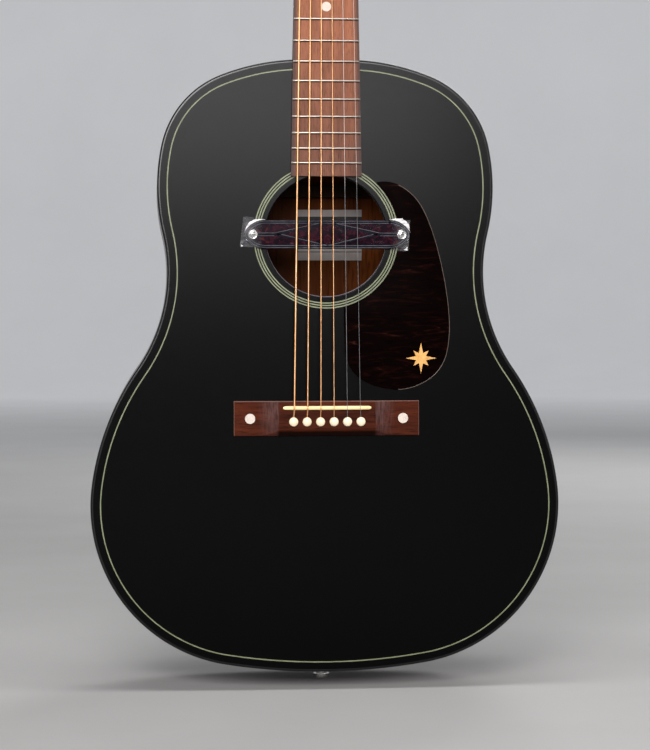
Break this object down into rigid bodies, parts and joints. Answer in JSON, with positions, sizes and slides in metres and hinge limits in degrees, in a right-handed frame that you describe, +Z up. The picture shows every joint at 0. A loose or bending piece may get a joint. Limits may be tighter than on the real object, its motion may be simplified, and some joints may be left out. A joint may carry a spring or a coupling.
{
  "type": "acoustic guitar",
  "caption": "Slope-shoulder steel-string acoustic guitar with black top, soundhole pickup, pinned bridge and geared tuners.",
  "frame": {"origin": "on the axis of the end-pin jack, at the tail surface of the body", "axes": "+Z up the neck, +X to the right seen from the front, +Y from the soundboard towards the back"},
  "size_m": [0.3958, 0.1332, 1.0683],
  "materials": {
    "black_top": "satin black lacquer over spruce",
    "sage_inlay": "pale sage line",
    "black_binding": "satin",
    "mahogany": "satin dark mahogany stain",
    "spruce": "bare planed wood",
    "rosewood": "oiled open grain",
    "walnut": "oiled open grain",
    "paper": "blank ruled paper",
    "bone": "polished bone",
    "cream_plastic": "moulded cream plastic",
    "pearl": "polished pearloid",
    "nickel": "polished nickel plate",
    "tuner_nickel": "polished nickel plate",
    "steel": "drawn rod",
    "brass": "turned",
    "gold": "gold foil",
    "tortoise": "polished dark tortoiseshell plastic",
    "pickup_tortoise": "polished purple-red tortoiseshell",
    "pickup_line": "grey inlaid line",
    "black_plastic": "moulded",
    "copper_wire": "fine wound wire",
    "magnet": "ground bar magnet",
    "felt": "felt",
    "clear_film": "clear protective film",
    "cable": "matt cable sheath",
    "fret_wire": "polished nickel silver",
    "bronze": "bronze wound and plain steel strings"
  },
  "bodies": {
    "guitar": {"soundboard": "black_top", "rosette": "sage_inlay", "front_purfling": "sage_inlay", "front_binding": "black_binding", "side_left": "mahogany", "side_right": "mahogany", "back_plate": "mahogany", "back_binding": "black_binding", "back_center_strip": "mahogany", "linings": "spruce", "neck_block": "mahogany", "tail_block": "mahogany", "x_braces": "spruce", "face_braces": "spruce", "back_braces": "spruce", "bridge_plate": "rosewood", "sound_label": "paper", "bridge": "rosewood", "saddle": "bone", "bridge_pins": "cream_plastic", "bridge_dots": "pearl", "bridge_bolts": "nickel", "pickguard": "tortoise", "pickguard_emblem": "gold", "pickup_cover": "pickup_tortoise", "pickup_inlay": "pickup_line", "pickup_bobbin": "black_plastic", "pickup_coil": "copper_wire", "pickup_magnet": "magnet", "pickup_clamps": "nickel", "pickup_screws": "nickel", "pickup_pads": "felt", "pickup_film": "clear_film", "pickup_lead": "cable", "end_jack": "nickel", "jack_hardware": "nickel", "neck": "mahogany", "fretboard": "walnut", "frets": "fret_wire", "fret_dots": "pearl", "nut": "bone", "truss_rod": "steel", "truss_rod_cover": "black_plastic", "headstock_veneer": "black_top", "tuner_housings": "nickel", "tuner_bushings": "nickel", "strings": "bronze"},
    "truss_nut": {"truss_rod_nut": "brass"},
    "knob_1": {"tuner_knob_1": "tuner_nickel"},
    "post_1": {"tuner_post_1": "tuner_nickel"},
    "knob_2": {"tuner_knob_2": "tuner_nickel"},
    "post_2": {"tuner_post_2": "tuner_nickel"},
    "knob_3": {"tuner_knob_3": "tuner_nickel"},
    "post_3": {"tuner_post_3": "tuner_nickel"},
    "knob_4": {"tuner_knob_4": "tuner_nickel"},
    "post_4": {"tuner_post_4": "tuner_nickel"},
    "knob_5": {"tuner_knob_5": "tuner_nickel"},
    "post_5": {"tuner_post_5": "tuner_nickel"},
    "knob_6": {"tuner_knob_6": "tuner_nickel"},
    "post_6": {"tuner_post_6": "tuner_nickel"}
  },
  "joints": [
    {"name": "truss_rod_turn", "type": "hinge", "parent": "guitar", "child": "truss_nut", "pos_m": [0, -0.0545, 0.88038], "axis": [0, 0, 1], "range_deg": [-180, 180]},
    {"name": "knob_1_turn", "type": "hinge", "parent": "guitar", "child": "knob_1", "pos_m": [-0.021, -0.03259, 0.90995], "axis": [1, 0, 0], "continuous": true},
    {"name": "post_1_turn", "type": "hinge", "parent": "guitar", "child": "post_1", "pos_m": [-0.021, -0.04913, 0.92299], "axis": [0, 0.9703, -0.2419], "continuous": true},
    {"name": "knob_2_turn", "type": "hinge", "parent": "guitar", "child": "knob_2", "pos_m": [-0.0226, -0.0234, 0.94682], "axis": [1, 0, 0], "continuous": true},
    {"name": "post_2_turn", "type": "hinge", "parent": "guitar", "child": "post_2", "pos_m": [-0.0226, -0.03994, 0.95986], "axis": [0, 0.9703, -0.2419], "continuous": true},
    {"name": "knob_3_turn", "type": "hinge", "parent": "guitar", "child": "knob_3", "pos_m": [-0.0242, -0.01421, 0.98369], "axis": [1, 0, 0], "continuous": true},
    {"name": "post_3_turn", "type": "hinge", "parent": "guitar", "child": "post_3", "pos_m": [-0.0242, -0.03074, 0.99673], "axis": [0, 0.9703, -0.2419], "continuous": true},
    {"name": "knob_4_turn", "type": "hinge", "parent": "guitar", "child": "knob_4", "pos_m": [0.0242, -0.01421, 0.98369], "axis": [1, 0, 0], "continuous": true},
    {"name": "post_4_turn", "type": "hinge", "parent": "guitar", "child": "post_4", "pos_m": [0.0242, -0.03074, 0.99673], "axis": [0, 0.9703, -0.2419], "continuous": true},
    {"name": "knob_5_turn", "type": "hinge", "parent": "guitar", "child": "knob_5", "pos_m": [0.0226, -0.0234, 0.94682], "axis": [1, 0, 0], "continuous": true},
    {"name": "post_5_turn", "type": "hinge", "parent": "guitar", "child": "post_5", "pos_m": [0.0226, -0.03994, 0.95986], "axis": [0, 0.9703, -0.2419], "continuous": true},
    {"name": "knob_6_turn", "type": "hinge", "parent": "guitar", "child": "knob_6", "pos_m": [0.021, -0.03259, 0.90995], "axis": [1, 0, 0], "continuous": true},
    {"name": "post_6_turn", "type": "hinge", "parent": "guitar", "child": "post_6", "pos_m": [0.021, -0.04913, 0.92299], "axis": [0, 0.9703, -0.2419], "continuous": true}
  ],
  "couplings": [
    {"joint": "post_1_turn", "follows": "knob_1_turn", "ratio": 0.071429},
    {"joint": "post_2_turn", "follows": "knob_2_turn", "ratio": 0.071429},
    {"joint": "post_3_turn", "follows": "knob_3_turn", "ratio": 0.071429},
    {"joint": "post_4_turn", "follows": "knob_4_turn", "ratio": -0.071429},
    {"joint": "post_5_turn", "follows": "knob_5_turn", "ratio": -0.071429},
    {"joint": "post_6_turn", "follows": "knob_6_turn", "ratio": -0.071429}
  ]
}
